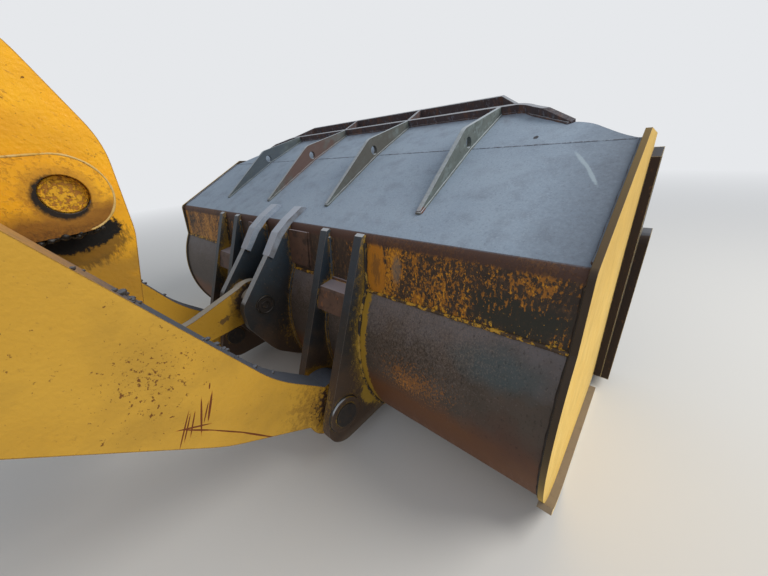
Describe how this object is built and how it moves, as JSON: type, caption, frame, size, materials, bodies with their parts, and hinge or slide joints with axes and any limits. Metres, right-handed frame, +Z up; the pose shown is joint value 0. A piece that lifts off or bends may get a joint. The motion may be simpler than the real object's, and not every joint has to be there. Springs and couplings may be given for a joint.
{
  "type": "wheel loader bucket with lift arm linkage",
  "caption": "Wide loading bucket hinged on twin lift arms, tilted through a bellcrank and a link; gusseted top, rolled heel, spill guard.",
  "frame": {"origin": "axis of the two arm foot bores, midway between the lift arms", "axes": "+X to the machine's left along the foot bores, -Y forward to the bucket, +Z up, with the bucket's floor level"},
  "size_m": [3.484, 4.071, 2.3568],
  "materials": {
    "yellow_paint": "worn yellow paint",
    "pin_steel": "rusty greased steel",
    "frosted_sheet": "frost on worn grey-brown steel",
    "worn_sheet": "rust-brown steel with the last of its orange paint",
    "gusset_steel": "grey-green worn steel with frost",
    "ear_steel": "dark worn steel",
    "side_steel": "sandy worn steel",
    "edge_steel": "ground-down wear steel"
  },
  "bodies": {
    "boom": {"right_lift_arm": "yellow_paint", "left_lift_arm": "yellow_paint", "cross_tube": "yellow_paint", "right_pivot_bracket": "yellow_paint", "left_pivot_bracket": "yellow_paint", "pivot_pin": "pin_steel"},
    "bucket": {"link_front_pin": "pin_steel", "right_hinge_pin": "pin_steel", "left_hinge_pin": "pin_steel", "top_sheet": "frosted_sheet", "front_plate": "frosted_sheet", "top_lip": "frosted_sheet", "right_cap_bar": "frosted_sheet", "left_cap_bar": "frosted_sheet", "back_band": "worn_sheet", "heel_and_floor": "worn_sheet", "right_stop_block": "worn_sheet", "left_stop_block": "worn_sheet", "spill_guard": "worn_sheet", "right_guard_rib": "worn_sheet", "left_guard_rib": "worn_sheet", "right_pad_plate": "worn_sheet", "left_pad_plate": "worn_sheet", "outer_right_gusset": "gusset_steel", "inner_right_gusset": "gusset_steel", "inner_left_gusset": "gusset_steel", "outer_left_gusset": "gusset_steel", "right_outer_hinge_ear": "ear_steel", "left_outer_hinge_ear": "ear_steel", "right_inner_hinge_ear": "ear_steel", "left_inner_hinge_ear": "ear_steel", "right_link_ear": "ear_steel", "left_link_ear": "ear_steel", "right_side_plate": "side_steel", "left_side_plate": "side_steel", "right_side_cutter": "side_steel", "left_side_cutter": "side_steel", "right_corner_guard": "side_steel", "left_corner_guard": "side_steel", "right_runner": "side_steel", "left_runner": "side_steel", "cutting_edge": "edge_steel", "right_wear_plate": "edge_steel", "left_wear_plate": "edge_steel"},
    "bellcrank": {"right_bellcrank_plate": "yellow_paint", "left_bellcrank_plate": "yellow_paint", "bellcrank_hub": "yellow_paint", "bellcrank_web": "yellow_paint"},
    "tilt_link": {"tilt_link": "yellow_paint"}
  },
  "joints": [
    {"name": "bucket_tilt", "type": "hinge", "parent": "boom", "child": "bucket", "pos_m": [0, -2.35, -1.78], "axis": [1, 0, 0], "range_deg": [-42, 50]},
    {"name": "bellcrank_turn", "type": "hinge", "parent": "boom", "child": "bellcrank", "pos_m": [0, -1.8048, -0.61204], "axis": [1, 0, 0], "range_deg": [-20, 17]},
    {"name": "link_turn", "type": "hinge", "parent": "bucket", "child": "tilt_link", "pos_m": [0, -2.379, -1.342], "axis": [1, 0, 0], "range_deg": [-52, 44]}
  ],
  "couplings": [
    {"joint": "bellcrank_turn", "follows": "bucket_tilt", "ratio": -0.38},
    {"joint": "link_turn", "follows": "bucket_tilt", "ratio": -1.016}
  ]
}
